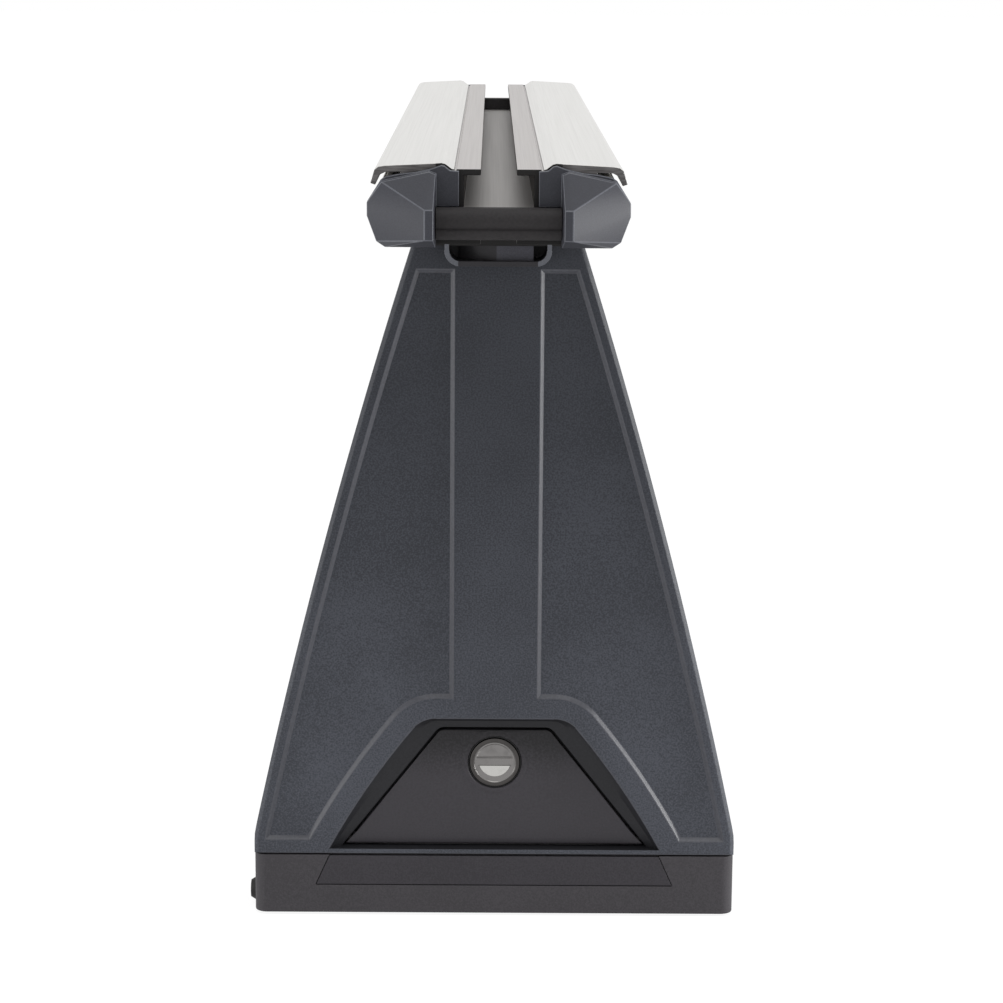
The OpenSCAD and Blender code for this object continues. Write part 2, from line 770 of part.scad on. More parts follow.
module core_clip() {
  color(steel) difference() {
    y_rod(0, lock_z, plug_r + 1.6, core_clip_y + 0.05, core_clip_y + core_clip_t);
    y_rod(0, lock_z, plug_r - core_groove + 0.05, core_clip_y - past, core_clip_y + core_clip_t + past);
    box(-4, 4, core_clip_y - past, core_clip_y + core_clip_t + past, lock_z - plug_r - 3, lock_z - 2);
  }
}

module lock_cam() {
  color(steel) along_y(cam_y, cam_y + cam_t) difference() {
    translate([0, lock_z]) union() {
      circle(6.5);
      translate([0, -cam_w / 2]) square([cam_l - cam_w / 2, cam_w]);
      translate([cam_l - cam_w / 2, 0]) circle(cam_w / 2);
    }
    translate([-tail_s / 2 - 0.05, lock_z - tail_s / 2 - 0.05]) square(tail_s + 0.1);
  }
}

module cam_screw() {
  seat_y = plug_back_y + tail_l;
  color(steel) difference() {
    union() {
      y_rod(0, lock_z, 4, seat_y, seat_y + 2);
      y_rod(0, lock_z, cam_screw_r, seat_y - 5, seat_y + 0.1);
    }
    box(-3, 3, seat_y + 1.1, seat_y + 3, lock_z - 0.5, lock_z + 0.5);
    box(-0.5, 0.5, seat_y + 1.1, seat_y + 3, lock_z - 3, lock_z + 3);
  }
}

module tray_outline(shrink, top) {
  half = tray_half - shrink;
  r = tray_r - shrink;
  translate([-half, tray_z + shrink + r]) square([2 * half, top - tray_z - shrink - r]);
  translate([-half + r, tray_z + shrink]) square([2 * half - 2 * r, r + 1]);
  for (side = [-1, 1]) translate([side * (half - r), tray_z + shrink + r]) circle(r);
}

module bar_saddle() {
  top = bar_z - slide_gap;
  out_y = front_y - tray_out;
  back_y = front_y - fit;
  color(stop_black) difference() {
    union() {
      box(-head_half, head_half, front_y, head_back_y, leg_top, top);
      box(-head_half + 4, head_half - 4, out_y + 1, front_y + 1, leg_top, top);
      difference() {
        along_y(out_y, back_y) tray_outline(0, top);
        along_y(out_y - past, back_y - 2) tray_outline(tray_wall, top - 1.5);
      }
      translate([0, 0, tray_z + tray_wall - 0.1]) linear_extrude(7) polygon([
        [-12.4, back_y - 1], [-12.4, back_y - 4], [-0.5, out_y + 2.5],
        [0, out_y + 2.5], [11.2, out_y + 2.5], [11.2, back_y - 1]
      ]);
    }
    bar_bolt_holes(bolt_r + 0.4, leg_top - past, bar_z + past);
  }
}

module bar_bolts() {
  head_z = leg_top - head_t - washer_t;
  head_h = 5.3;
  color(steel) for (y = bolt_y) translate([0, y, 0]) {
    translate([0, 0, head_z - head_h]) cylinder(r = bolt_r * 1.87, h = head_h, $fn = 6);
    z_rod(0, 0, bolt_r, head_z - 0.1, nut_plate_z + nut_plate_t + 0.7);
  }
}

module bar_bolt_washers() {
  top = leg_top - head_t;
  color(steel) for (y = bolt_y) difference() {
    z_rod(0, y, 2 * bolt_r, top - washer_t, top);
    z_rod(0, y, bolt_r + 0.25, top - washer_t - past, top + past);
  }
}

module slot_nut_plate() {
  half = slot_outer - 1;
  color(steel) difference() {
    box(-half, half, nut_plate_y - nut_plate_l / 2, nut_plate_y + nut_plate_l / 2,
      nut_plate_z, nut_plate_z + nut_plate_t);
    bar_bolt_holes(bolt_r + 0.05, bar_z, nut_plate_z + nut_plate_t + past);
  }
}

// Right half of the bar outline, heights above its underside
bar_outer = [
  [bar_half - 5.2, 0], [bar_half - 2.9, 1.5], [bar_half - 0.3, 9.2], [bar_half - 0.3, 12.8],
  [bar_half - 3.7, bar_h - 5], [bar_half - 5, bar_h - 4.1], [bar_half - 9, bar_h - 3.9],
  [bar_half - 9, bar_h - 2.7], [bar_half - 4.4, bar_h - 2.8], [bar_half - 2.8, bar_h - 3.6],
  [bar_half - 1.5, bar_h - 6.6], [bar_half, bar_h - 6.1], [bar_half - 1.2, bar_h - 2.1],
  [bar_half - 2.4, bar_h - 1.2], [bar_half - 4.2, bar_h - 0.9], [18.4, bar_h - 0.1],
  [17.2, bar_h], [16, bar_h - 0.3], [14, lip_top_z], [13.4, lip_top_z],
  [13.4, lip_top_z - 0.7], [12.7, lip_top_z - 0.7], [12.7, lip_top_z]
];

chamber = [
  [chamber_in, bar_wall], [bar_half - 5.8, bar_wall], [bar_half - 4.3, bar_wall + 0.9],
  [bar_half - 2.1, 9.6], [bar_half - 2.1, 12.4], [bar_half - 4.9, bar_h - 6.6],
  [bar_half - 5.8, bar_h - 5.9], [bar_half - 10.8, bar_h - 5.7], [bar_half - 10.8, bar_h - 3],
  [18, bar_h - 2.1], [16.8, bar_h - 2.2], [14.8, lip_top_z - bar_wall], [chamber_in, lip_top_z - bar_wall]
];

module bar_section() {
  difference() {
    polygon(both(concat([[0, 0]], bar_outer, [[0, lip_top_z]])));
    for (side = [0, 1]) mirror([side, 0]) polygon(chamber);
    translate([-slot_mouth / 2, floor_z]) square([slot_mouth, bar_h]);
    translate([-slot_outer, floor_z]) square([slot_w, slot_depth]);
    translate([-slot_mouth / 2, -past]) square([slot_mouth, low_roof_z + past]);
    translate([-slot_outer, low_lip_t]) square([slot_w, low_roof_z - low_lip_t]);
  }
}

module bar_extrusion() {
  color(alloy) translate([0, 0, bar_z]) along_y(bar_near_y, bar_far_y) bar_section();
}

// Right near end cap: flange on the bar end, faceted nose and a plug in the chamber
module end_cap() {
  nose_in = stop_half + 0.1;
  flange = [
    [nose_in, -0.3], [cap_half - 5.6, -0.3], [cap_half - 3, 1.4], [cap_half, 9], [cap_half, 13],
    [cap_half - 4, bar_h - 4.9], [cap_half - 5.6, bar_h - 3.9], [cap_half - 9.6, bar_h - 3.1],
    [25, bar_h - 2.6], [20, bar_h - 1.5], [17.2, bar_h - 0.5], [16.2, bar_h - 0.7],
    [14.6, lip_top_z - 0.2], [11.9, lip_top_z - 0.4], [11.9, floor_z + 0.6], [nose_in, floor_z + 0.6]
  ];
  shoulder = [
    [nose_in, -0.3], [cap_half - 5.4, -0.3], [cap_half - 2.8, 1.4], [cap_half, 9], [cap_half, 13],
    [cap_half - 4.4, bar_h - 5.2], [cap_half - 13, bar_h - 3.8], [20.8, bar_h - 2.2], [nose_in, bar_h - 3]
  ];
  flange_y = bar_near_y - flange_t;
  color(cap_black) translate([0, 0, bar_z]) {
    along_y(flange_y, bar_near_y) polygon(flange);
    hull() {
      along_y(flange_y - 3.5, flange_y + 0.5) polygon(shoulder);
      along_y(bar_near_y - cap_out, bar_near_y - cap_out + 0.3)
        translate([nose_in + 0.4, 3]) square([2.6, 9]);
    }
    box(chamber_in + 2, bar_half - 7.6, bar_near_y - 0.1, bar_near_y + 12, bar_wall + 0.25, bar_h - 7);
  }
}

// Near stop between the end caps: soft roll, groove and lip, with a tongue in the lower slot
module channel_stop() {
  roll_r = 3.4;
  lip_r = 1.9;
  roll_y = bar_near_y - 7;
  color(stop_black) translate([0, 0, bar_z]) {
    along_x(-stop_half, stop_half) {
      translate([roll_y, floor_z - 2.7]) circle(roll_r);
      translate([roll_y - 0.6, 4]) circle(lip_r);
      polygon([
        [bar_near_y - 0.1, 2.2], [bar_near_y - 0.1, floor_z + 0.3], [roll_y, floor_z + 0.7],
        [roll_y - 2, floor_z - 2.7], [roll_y - 1.4, 4], [roll_y - 0.6, 2.2]
      ]);
    }
    box(-slot_outer + fit, slot_outer - fit, bar_near_y - 1, bar_near_y + 10,
      low_lip_t + fit, low_roof_z - fit);
  }
}

module at_far_end() {
  translate([0, bar_near_y + bar_far_y, 0]) mirror([0, 1, 0]) children();
}

module end_cap_near_left() { mirror([1, 0, 0]) end_cap(); }
module end_cap_near_right() { end_cap(); }
module end_cap_far_left() { at_far_end() mirror([1, 0, 0]) end_cap(); }
module end_cap_far_right() { at_far_end() end_cap(); }
module channel_stop_near() { channel_stop(); }
module channel_stop_far() { at_far_end() channel_stop(); }

module upper_slot_stop() {
  half = slot_outer - fit;
  stop_h = 5.2;
  color(stop_black) translate([0, 0, bar_z + floor_z])
    box(-half, half, bar_far_y - 8, bar_far_y - 0.3, 0.05, stop_h);
}

base_pad();
base_plate();
base_skirt();
base_insert();
foot_screws();
skirt_screw();
leg_casting();
leg_cover();
cover_screws();
bar_saddle();
bar_bolts();
bar_bolt_washers();
slot_nut_plate();
access_door();
hinge_pins();
lock_sleeve();
lock_core();
core_clip();
lock_cam();
cam_screw();
bar_extrusion();
end_cap_near_left();
end_cap_near_right();
end_cap_far_left();
end_cap_far_right();
channel_stop_near();
channel_stop_far();
upper_slot_stop();
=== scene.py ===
# %% [markdown]
# # A roof bar foot and its bar
# The object is the tall foot of a roof rack: a padded base, a ribbed aluminium leg behind a moulded
# cover, a small locked door at the bottom, and a slotted aluminium bar with rubbery end caps on top.
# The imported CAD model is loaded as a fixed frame. Everything below either dresses its pieces in a
# material or replaces them by a more finely finished piece in the same place.

# %% Load the frame
import json
import math

import bmesh
import bpy
from mathutils import Matrix, Vector


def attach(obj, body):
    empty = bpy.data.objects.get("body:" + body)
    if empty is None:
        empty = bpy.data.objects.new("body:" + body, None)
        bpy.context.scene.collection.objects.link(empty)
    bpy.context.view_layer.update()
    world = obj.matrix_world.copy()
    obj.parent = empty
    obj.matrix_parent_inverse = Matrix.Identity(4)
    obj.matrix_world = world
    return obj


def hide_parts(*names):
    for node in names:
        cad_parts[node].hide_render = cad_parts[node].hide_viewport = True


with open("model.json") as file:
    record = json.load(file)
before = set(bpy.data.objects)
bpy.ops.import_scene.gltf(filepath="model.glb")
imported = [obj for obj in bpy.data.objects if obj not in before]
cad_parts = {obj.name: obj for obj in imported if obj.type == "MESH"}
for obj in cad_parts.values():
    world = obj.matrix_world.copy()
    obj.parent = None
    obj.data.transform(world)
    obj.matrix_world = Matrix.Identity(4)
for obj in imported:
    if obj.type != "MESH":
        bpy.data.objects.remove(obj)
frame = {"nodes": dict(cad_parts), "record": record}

bpy.context.scene.view_settings.view_transform = "Standard"
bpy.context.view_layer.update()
MM = 0.001

# %% [markdown]
# ## Shader maths as Python
# A material is easiest to read as arithmetic: speckle times a strength, plus a base value. One small
# class wraps a socket so that Python's operators add Math nodes, and a second one holds a material.
# Numbers that are the same all over a surface are set on the shader's own sockets.

# %% The two shader classes
class Wire:
    """A value that changes over the surface; arithmetic on it adds Math nodes."""

    def __init__(self, finish, socket):
        self.finish, self.socket = finish, socket

    def math(self, operation, *values):
        return self.finish.node("ShaderNodeMath", {"operation": operation}, dict(enumerate(values)))

    def __add__(self, other):
        return self.math("ADD", self, other)

    def __sub__(self, other):
        return self.math("SUBTRACT", self, other)

    def __rsub__(self, other):
        return self.math("SUBTRACT", other, self)

    def __mul__(self, other):
        return self.math("MULTIPLY", self, other)

    __radd__, __rmul__ = __add__, __mul__

    def ramp(self, low, high):
        """0 below low, 1 above high, and a soft step between."""
        return self.finish.node("ShaderNodeMapRange", {"interpolation_type": "SMOOTHSTEP"},
                                {"Value": self, "From Min": low, "From Max": high})


class Finish:
    """A Principled material for one real finish."""

    def __init__(self, name, color, roughness, metallic=0.0, **constants):
        self.material = bpy.data.materials.new(name)
        self.material.use_nodes = True
        self.tree = self.material.node_tree
        self.shader = self.tree.nodes["Principled BSDF"]
        self.color = color
        self.set("Base Color", color)
        self.set("Roughness", roughness)
        self.set("Metallic", metallic)
        for socket, value in constants.items():
            self.set(socket.replace("_", " "), value)
        self.place = self.node("ShaderNodeTexCoord", {}, {}, "Object")

    def node(self, kind, settings, inputs, output=0):
        """Any node: its settings, what goes into it, and the output that is wanted."""
        node = self.tree.nodes.new(kind)
        for key, value in settings.items():
            setattr(node, key, value)
        for key, value in inputs.items():
            self.feed(node.inputs[key], value)
        return Wire(self, node.outputs[output])

    def feed(self, socket, value):
        """Links a Wire to a socket, or sets the socket to a plain value."""
        if isinstance(value, Wire):
            self.tree.links.new(value.socket, socket)
        else:
            socket.default_value = value

    def set(self, socket, value):
        self.feed(self.shader.inputs[socket], value)

    def noise(self, grain_mm, detail, stretch=(1, 1, 1)):
        """Noise whose blobs are about grain_mm across, longer where stretch is above 1."""
        where = self.node("ShaderNodeMapping", {}, {
            "Vector": self.place, "Scale": [1 / s for s in stretch]})
        return self.node("ShaderNodeTexNoise", {}, {
            "Vector": where, "Scale": 1 / (grain_mm * MM), "Detail": detail})

    def height(self, low_mm, high_mm):
        """0 below the first height, 1 above the second."""
        z = self.node("ShaderNodeSeparateXYZ", {}, {"Vector": self.place}, 2)
        return z.ramp(low_mm * MM, high_mm * MM)

    def tint(self, mask, other):
        """The base colour turns into the other one where the mask is 1."""
        self.color = self.node("ShaderNodeMix", {"data_type": "RGBA"},
                               {0: mask, 6: self.color, 7: other}, 2)
        self.set("Base Color", self.color)

    def bump(self, height, depth_mm):
        self.set("Normal", self.node("ShaderNodeBump", {}, {
            "Strength": 1.0, "Distance": depth_mm * MM, "Height": height}))


def shade(red, green, blue):
    """A colour as a picture editor shows it, 0 to 255, as the linear value that shaders use."""
    def linear(v):
        v /= 255
        return v / 12.92 if v <= 0.04045 else ((v + 0.055) / 1.055) ** 2.4
    return (linear(red), linear(green), linear(blue), 1.0)


def scaled(color, factor):
    """A linear colour made lighter or darker."""
    return tuple(min(1, c * factor) for c in color[:3]) + (1.0,)


# %% [markdown]
# ## Plastics and rubbers
# Moulded plastic is never one flat colour: the mould is spark-eroded, which leaves a fine grain, and
# handling polishes it here and there. The cover has the strongest grain, and its edges and the door
# are smooth. Painted shade darkens the cover and the door towards their tops, and some finishes below
# are painted darker or lighter to stand for shade and highlights. A picture of grain could be wrapped
# round each piece, but noise on Object coordinates has no seams and keeps its size on every piece.

# %% Plastics and rubbers
def moulded(name, color, roughness, grain_mm, grain_depth_mm, worn=0.08, mirror=0.25, fleck=1.3,
            painted_shade=None):
    """Grained plastic: fine bump and flecks, and a slow drift of roughness from handling. The last
    argument gives two heights in mm and the darker colour of painted shade that the surface reaches
    between them."""
    drift_mm = 28
    finish = Finish(name, color, roughness, Specular_IOR_Level=mirror)
    grain = finish.noise(grain_mm, 3)
    drift = finish.noise(drift_mm, 2)
    finish.set("Roughness", drift * worn + grain * 0.1 + (roughness - worn / 2 - 0.05))
    flecks = (grain * 0.85 + drift * 0.3).ramp(0.42, 0.74)
    if painted_shade:
        low_mm, high_mm, darker = painted_shade
        shade_mask = finish.height(low_mm, high_mm)
        finish.tint(shade_mask, darker)
        flecks = flecks * (1 - shade_mask * 0.7)
    finish.tint(flecks, scaled(color, fleck))
    finish.bump(grain, grain_depth_mm)
    return finish


# Painted shade: the cover darkens towards its top, where the bar above shades it.
cover_plastic = moulded("cover_plastic", shade(53, 55, 61), 0.46, 0.56, 0.06, fleck=1.9,
                        painted_shade=(30, 190, shade(38, 40, 46)))
# Slopes and rounded edges are smoother and glossier, and their lighter colour is a painted highlight.
cover_edge = moulded("cover_edge", shade(60, 61, 67), 0.4, 0.8, 0.01, 0.05, 0.42)
# Painted shade: the recess round the door is the cover's plastic, painted darker where little light
# reaches.
recess_painted_shade = moulded("recess_painted_shade", shade(29, 29, 32), 0.5, 0.8, 0.02)
base_plastic = moulded("base_plastic", shade(57, 55, 58), 0.6, 0.6, 0.04)
insert_plastic = moulded("insert_plastic", shade(48, 46, 50), 0.55, 0.6, 0.02)
# Painted shade: the door darkens towards its top, under the arch of the recess.
door_plastic = moulded("door_plastic", shade(54, 52, 56), 0.42, 0.7, 0.012, fleck=1.15,
                       painted_shade=(45, 61, shade(28, 27, 29)))
cap_plastic = moulded("cap_plastic", shade(51, 52, 58), 0.46, 0.4, 0.02)
# Painted highlight: a lighter colour on the caps' rounded edges and on the curled rims of the saddle's
# tray.
cap_edge_highlight = moulded("cap_edge_highlight", shade(76, 78, 85), 0.36, 0.6, 0.01, 0.05, 0.5)
saddle_plastic = moulded("saddle_plastic", shade(40, 39, 42), 0.5, 0.5, 0.03)
# Painted light: a lighter plastic on the front face inside the saddle's tray and on the caps' blocks
# beside the slot.
painted_light_plastic = moulded("painted_light_plastic", shade(62, 62, 69), 0.5, 0.5, 0.04)
stop_plastic = moulded("stop_plastic", shade(39, 37, 38), 0.66, 0.9, 0.09)
pad_rubber = moulded("pad_rubber", shade(34, 34, 34), 0.75, 0.8, 0.05)
# Near black: the blackened pins and screw, and painted shade on the saddle under the bar and on the
# bar's ends beside the slot.
black_and_painted_shade = moulded("black_and_painted_shade", shade(20, 19, 19), 0.6, 0.6, 0.03)
sleeve_black = moulded("sleeve_black", shade(24, 24, 25), 0.25, 0.8, 0.006)
print("plastics and rubbers:", len(bpy.data.materials))

# %% [markdown]
# ## Metals
# Extruded aluminium carries long lines from the die, a saw leaves marks across its ends, a casting
# has a dull skin with dimples, and plated steel is bright but a little cloudy. Noise makes them all:
# stretched along the bar it gives the die's lines, and stretched across its end the marks of the saw.

# %% Metals
def extruded(name, color, roughness=0.34):
    """Satin anodised aluminium with faint lines along the bar."""
    finish = Finish(name, color, roughness, 1.0)
    lines = finish.noise(0.5, 3, (1, 260, 1))
    satin = finish.noise(0.3, 2)
    finish.set("Roughness", lines * 0.14 + satin * 0.06 + (roughness - 0.08))
    finish.tint((lines * 0.7 + satin * 0.4).ramp(0.45, 0.8), scaled(color, 0.93))
    finish.bump(lines + satin * 0.4, 0.006)
    return finish


def sawn(name):
    """The cut end of the bar: saw marks across and duller, and darker with painted shade, as it faces
    away from the light.
    """
    finish = Finish(name, shade(110, 108, 108), 0.5, 1.0)
    marks = finish.noise(0.5, 3, (14, 1, 1))
    finish.set("Roughness", marks * 0.25 + 0.35)
    finish.tint(marks.ramp(0.3, 0.75), shade(74, 72, 72))
    finish.bump(marks, 0.05)
    return finish


def cast(name):
    """Die-cast aluminium: dull skin with small dimples and darker stains."""
    finish = Finish(name, shade(176, 174, 168), 0.48, 1.0)
    skin = finish.noise(0.9, 4)
    stain = finish.noise(16, 3)
    finish.set("Roughness", skin * 0.2 + stain * 0.14 + 0.32)
    finish.tint(stain.ramp(0.4, 0.8), shade(164, 163, 159))
    finish.bump(skin, 0.06)
    return finish


def plated(name, color, roughness):
    """Plated steel: bright, a little cloudy, with fine scratches."""
    finish = Finish(name, color, roughness, 1.0)
    cloud = finish.noise(3, 3)
    scratch = finish.noise(0.25, 2, (1, 1, 20))
    finish.set("Roughness", cloud * 0.16 + scratch * 0.08 + (roughness - 0.1))
    finish.tint(cloud.ramp(0.45, 0.8), scaled(color, 0.82))
    finish.bump(scratch, 0.008)
    return finish


bar_alloy = extruded("bar_alloy", shade(214, 213, 210))
# Painted shade: the lips, the slot's floor and its hidden walls are the bar's alloy made darker where
# less light reaches; the floor is also rougher.
lip_painted_shade = extruded("lip_painted_shade", shade(180, 176, 174), 0.42)
rough_floor_painted_shade = extruded("rough_floor_painted_shade", shade(160, 157, 155), 0.55)
cavity_painted_shade = extruded("cavity_painted_shade", shade(64, 60, 57), 0.6)
bar_end = sawn("bar_end")
cast_alloy = cast("cast_alloy")
zinc_steel = plated("zinc_steel", shade(184, 184, 182), 0.3)
lock_metal = plated("lock_metal", shade(124, 122, 121), 0.28)
lock_rim = plated("lock_rim", shade(74, 72, 71), 0.3)
lock_polish = plated("lock_polish", shade(186, 185, 182), 0.14)
print("finishes with the metals:", len(bpy.data.materials))

# %% [markdown]
# ## Dressing the frame
# Most parts of the real foot have one finish all over, so every CAD piece starts with the finish of
# its material slot. The hinge pins and the screw in the base are blackened, so that they don't shine
# out of their gaps.

# %% Dress the CAD nodes
finishes = {
    "pad_rubber": pad_rubber, "zinc_steel": zinc_steel, "base_plastic": base_plastic,
    "cast_alloy": cast_alloy, "cover_plastic": cover_plastic, "door_plastic": door_plastic,
    "saddle_plastic": saddle_plastic, "sleeve_black": sleeve_black, "lock_metal": lock_metal,
    "bar_alloy": bar_alloy, "cap_plastic": cap_plastic, "stop_plastic": stop_plastic,
}
record = frame["record"]
slot_of = {part["node"]: part["material_slot"] for part in record["subparts"]}
body_of = {node: body for body, nodes in record["behaviour"]["bodies"].items() for node in nodes}
for node, mesh_object in frame["nodes"].items():
    mesh_object.data.materials.clear()
    mesh_object.data.materials.append(finishes[slot_of[node]].material)
for node in ("hinge_pins", "skirt_screw"):
    frame["nodes"][node].data.materials[0] = black_and_painted_shade.material
print("dressed", len(frame["nodes"]), "nodes in", len(finishes), "slots")

# %% [markdown]
# ## From a drawing to a piece
# New pieces are drawn in millimetres and then scaled down to metres. Real edges are never razor
# sharp, so most CAD pieces are shown by a copy whose doubled corners are merged and whose edges are
# rounded. A Bevel modifier could round them too, but the bmesh operator returns the faces that it
# made, so that they can have a finish of their own, such as a lighter colour for a painted highlight.
# The other faces are sorted into finishes by where they are and which way they look, and some of
# them are painted darker or lighter for shade and light.

# %% Two helpers that make pieces
def finish_piece(bm, name, body, materials, stands_for):
    """Turns a bmesh drawn in millimetres into a piece that rides on its body."""
    bmesh.ops.scale(bm, vec=(MM,) * 3, verts=bm.verts)
    bmesh.ops.recalc_face_normals(bm, faces=bm.faces)
    mesh = bpy.data.meshes.new(name)
    bm.to_mesh(mesh)
    bm.free()
    for material in materials:
        mesh.materials.append(material.material)
    mesh.shade_smooth()
    mesh.set_sharp_from_angle(angle=math.radians(32))
    piece = bpy.data.objects.new(name, mesh)
    bpy.context.scene.collection.objects.link(piece)
    even = piece.modifiers.new("even normals", "WEIGHTED_NORMAL")
    even.keep_sharp = True
    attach(piece, body)
    if stands_for:
        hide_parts(*stands_for)
    print(name, len(mesh.polygons), "faces")


def softened(node, width_mm, segments=2, extra=(), choose=None, cuts=(), merge_mm=0.002,
             edge_slot=0):
    """A copy of a CAD piece with its flat faces joined up and its sharp edges rounded. choose sorts
    the faces into finishes, after they are cut at the given X places."""
    flat, sharp = math.radians(0.5), math.radians(28)
    bm = bmesh.new()
    bm.from_mesh(frame["nodes"][node].data)
    bmesh.ops.scale(bm, vec=(1 / MM,) * 3, verts=bm.verts)
    bmesh.ops.remove_doubles(bm, verts=bm.verts, dist=merge_mm)
    bmesh.ops.dissolve_limit(bm, angle_limit=flat, verts=bm.verts, edges=bm.edges)
    edges = [e for e in bm.edges if len(e.link_faces) == 2 and e.calc_face_angle(0) > sharp]
    rounded = bmesh.ops.bevel(bm, geom=edges, offset=width_mm, affect="EDGES", segments=segments,
                              profile=0.5, material=-1, clamp_overlap=True)["faces"]
    for face in rounded:
        face.material_index = edge_slot
    for x in cuts:
        bmesh.ops.bisect_plane(bm, geom=[*bm.verts, *bm.edges, *bm.faces],
                               plane_co=(x, 0, 0), plane_no=(1, 0, 0))
    if choose:
        for face in bm.faces:
            if not edge_slot or face.material_index != edge_slot:
                face.material_index = choose(face.normal, face.calc_center_median())
    slot = slot_of[node]
    finish_piece(bm, node + "_soft", body_of[node], [finishes[slot], *extra], [node])


# %% [markdown]
# ## Measuring the frame
# New faces have to meet CAD pieces that stay. Their main sizes could be typed in again, but two copies
# of a number drift apart, so they are measured on the frame. X runs to the right, Y along the bar away
# from the door, and Z up from the roof.

# %% Where a CAD piece begins and ends
def span(node, axis):
    """The lowest and highest place of a CAD piece along an axis, 0 to 2, in millimetres."""
    places = [v.co[axis] / MM for v in frame["nodes"][node].data.vertices]
    return round(min(places), 2), round(max(places), 2)


front_y, leg_top = span("leg_cover", 1)[0], span("leg_casting", 2)[1]
print("the cover's front is at y", front_y, "and the leg's top at z", leg_top)

# %% [markdown]
# ## Casting, base, stops, saddle and caps
# These pieces are cast or moulded, and the tool rounds all their corners, so a softened copy is
# enough. The end caps are merged at a coarser distance first, because the hull that makes their nose
# leaves very short edges, and those would keep every rounding as narrow as themselves.

# %% Softened copies
tray_front_y, tray_rim_x, cap_nose_x = span("bar_saddle", 1)[0], 12.6, 17.95


def saddle_face(normal, centre):
    """0 plain, 1 painted highlight on the curled rims of the tray, 2 painted light on the face inside
    it, 3 painted shade on the part under the bar.
    """
    if centre.z > leg_top and centre.y < front_y + 0.5:
        return 3
    if centre.y < tray_front_y + 1.5 and abs(centre.x) > tray_rim_x - 0.1:
        return 1
    faces_front = normal.y < -0.6 and tray_front_y + 1 < centre.y < tray_front_y + 4
    return 2 if faces_front and 0 < centre.x < 12 else 0


def cap_face(normal, centre):
    """0 plain, 2 painted light on the flat block beside the slot; 1 is kept for the painted highlight
    on the rounded edges.
    """
    return 2 if abs(normal.y) > 0.9 and abs(centre.x) < cap_nose_x else 0


for node, width in {"leg_casting": 0.5, "base_skirt": 0.4, "channel_stop_near": 0.4,
                    "channel_stop_far": 0.4, "upper_slot_stop": 0.5}.items():
    softened(node, width)
softened("base_insert", 0.2, 2, (insert_plastic,), lambda normal, centre: 1)
softened("bar_saddle", 0.4, 2, (cap_edge_highlight, painted_light_plastic, black_and_painted_shade), saddle_face,
         (-tray_rim_x, tray_rim_x))
for end in ("near_left", "near_right", "far_left", "far_right"):
    softened("end_cap_" + end, 0.8, 3, (cap_edge_highlight, painted_light_plastic), cap_face,
             merge_mm=0.4, edge_slot=1)

# %% [markdown]
# ## The bar
# One extrusion looks like several metals: its wings are bright, the lips beside the slot are a little
# duller and painted darker for shade, the floor of the slot is rough and painted darker for shade,
# the hidden walls are painted dark for shade, and the sawn ends are duller still and painted darker,
# as they face away from the light. The ends beside the slot lie in the shade of the caps, painted as
# the darkest. Separate pieces could carry these finishes too, but they would show seams, so one piece
# has its faces sorted instead.

# %% Bar
bar_near, bar_far = span("bar_extrusion", 1)
slot_floor_z, lip_top_z, slot_wall_x, chamber_x = 241.9, 253.4, 13.3, 18.9
end_band = 0.4


def bar_face(normal, centre):
    """0 wings, 1 lips in painted shade, 2 slot floor in painted shade, 3 walls in painted shade, 4
    sawn ends in painted shade, 5 ends beside the slot in deeper painted shade.
    """
    beside_slot = abs(centre.x) < chamber_x
    between_ends = bar_near + end_band < centre.y < bar_far - end_band
    if abs(normal.y) > 0.6 or (beside_slot and not between_ends):
        return 5 if beside_slot else 4
    if abs(centre.x) >= slot_wall_x or not slot_floor_z - 0.3 < centre.z < lip_top_z + 0.1:
        return 0
    if normal.z > 0.6:
        return 2 if centre.z < slot_floor_z + 0.5 else 1
    return 3


softened("bar_extrusion", 0.25, 2, (lip_painted_shade, rough_floor_painted_shade, cavity_painted_shade, bar_end, black_and_painted_shade),
         bar_face, (-chamber_x, chamber_x))

# %% [markdown]
# ## Outlines of the leg
# The cover, the door and the arch share a few curves: the flank is one very long arc that ends in a
# small shoulder over the base, the arch is two steep arcs with rounded corners, and the door is a
# trapezoid. They are written as functions of an offset, so that a rounded edge can be drawn as a row
# of slightly larger or smaller outlines.

# %% The flank
base_w, base_h = 2 * span("base_skirt", 0)[1], span("base_skirt", 2)[1]
head_half = span("bar_saddle", 0)[1]
flank_r, shoulder_r, foot_rise = 2075, 20, 6.8


def leg_x(z, off):
    """Half width of the leg at a height, grown by off."""
    foot = Vector((base_w / 2, base_h + foot_rise))
    head = Vector((head_half, leg_top))
    chord = head - foot
    rise = math.sqrt(flank_r ** 2 - chord.length_squared / 4)
    centre = (foot + head) / 2 - Vector((chord.y, -chord.x)) / chord.length * rise
    shoulder_x = base_w / 2 - shoulder_r
    shoulder_z = centre.y + math.sqrt((flank_r - shoulder_r) ** 2 - (shoulder_x - centre.x) ** 2)
    meet = math.atan2(shoulder_z - centre.y, shoulder_x - centre.x)
    if z <= shoulder_z:
        return base_w / 2 + off
    if z < centre.y + (flank_r + off) * math.sin(meet):
        return shoulder_x + math.sqrt((shoulder_r + off) ** 2 - (z - shoulder_z) ** 2)
    return centre.x + math.sqrt((flank_r + off) ** 2 - (z - centre.y) ** 2)


def leg_half(off, z0, z1):
    """The flank from z0 up to z1, with its points closer together at the shoulder."""
    steps, crowding = 30, 1.7
    heights = (z0 + (z1 - z0) * (i / steps) ** crowding for i in range(steps + 1))
    return [(leg_x(z, off), z) for z in heights]


def both(half):
    """A right half, from the foot up, closed by its mirror image."""
    return half + [(-x, z) for x, z in reversed(half)]


